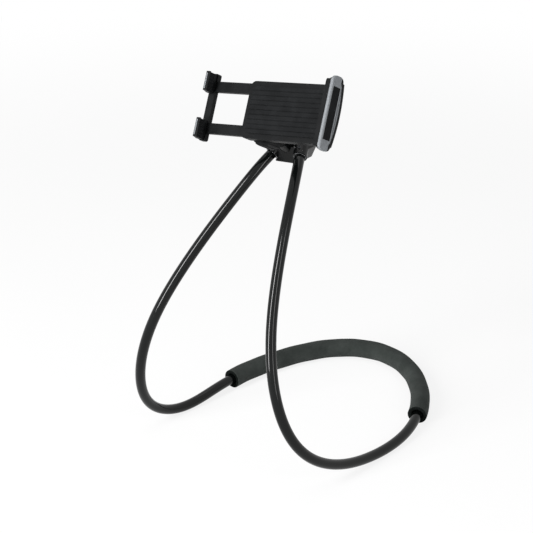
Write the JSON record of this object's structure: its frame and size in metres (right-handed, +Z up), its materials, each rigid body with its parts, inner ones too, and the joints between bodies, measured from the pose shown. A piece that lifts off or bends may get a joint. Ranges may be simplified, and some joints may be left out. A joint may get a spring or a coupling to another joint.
{
  "type": "neck phone holder",
  "caption": "Bendable hose loop worn round the neck, with a foam neck sleeve and a ball-jointed spring clip that holds a phone in front of the wearer.",
  "frame": {"origin": "bottom centre of the whole holder as it stands, on the surface it rests on", "axes": "+Z up, the front with the phone clip faces -Y, the foam neck sleeve lies at +Y, the wide jaw at +X"},
  "size_m": [0.2269, 0.3023, 0.3898],
  "materials": {
    "black_hose": "smooth glossy black silicone-like hose skin",
    "core_metal": "dull bendable wire core",
    "grey_foam": "matte closed-cell foam with a fine grain",
    "ferrule_metal": "crimped plain metal",
    "black_gloss": "smooth glossy black moulding",
    "dark_steel": "blackened steel",
    "bright_steel": "turned steel",
    "nylon": "natural nylon",
    "black_matte": "fine-textured black plastic",
    "black_rubber": "soft matte rubber sheet",
    "satin_silver": "satin silver-grey shell"
  },
  "bodies": {
    "hose_loop": {"gooseneck_sheath": "black_hose", "gooseneck_core": "core_metal", "foam_sleeve": "grey_foam", "left_ferrule": "ferrule_metal", "right_ferrule": "ferrule_metal", "bridge_block": "black_gloss", "set_screws": "dark_steel", "ball_stud": "bright_steel", "stud_washer": "bright_steel", "stud_nut": "bright_steel"},
    "liner": {"ball_liner": "nylon"},
    "nut": {"lock_nut": "black_matte"},
    "clip": {"clip_base": "black_matte", "clip_cover": "black_matte", "cover_screws": "dark_steel", "front_pad": "black_rubber", "jaw_block": "black_matte", "jaw_screws": "dark_steel", "jaw_shell": "satin_silver", "jaw_inset": "black_gloss", "jaw_pad": "black_rubber", "return_springs": "bright_steel"},
    "slider": {"slider_frame": "black_matte", "upper_claw": "black_matte", "lower_claw": "black_matte", "claw_screws": "dark_steel", "claw_trims": "satin_silver", "claw_pads": "black_rubber"}
  },
  "joints": [
    {"name": "clip_swing", "type": "hinge", "parent": "hose_loop", "child": "liner", "pos_m": [-0.00321, -0.05411, 0.31939], "axis": [0.0805, 0.4812, 0.8729], "range_deg": [-12, 18]},
    {"name": "clip_tilt", "type": "hinge", "parent": "liner", "child": "nut", "pos_m": [-0.00321, -0.05411, 0.31939], "axis": [0.9863, -0.165, 0], "range_deg": [-50, 3]},
    {"name": "clip_spin", "type": "hinge", "parent": "nut", "child": "clip", "pos_m": [-0.00321, -0.05411, 0.31939], "axis": [0.1441, 0.861, -0.4879], "continuous": true},
    {"name": "jaw_slide", "type": "slide", "parent": "clip", "child": "slider", "axis": [0.9827, -0.0667, 0.1725], "range_m": [-0.015, 0.042], "deforming": ["return_springs"]}
  ]
}
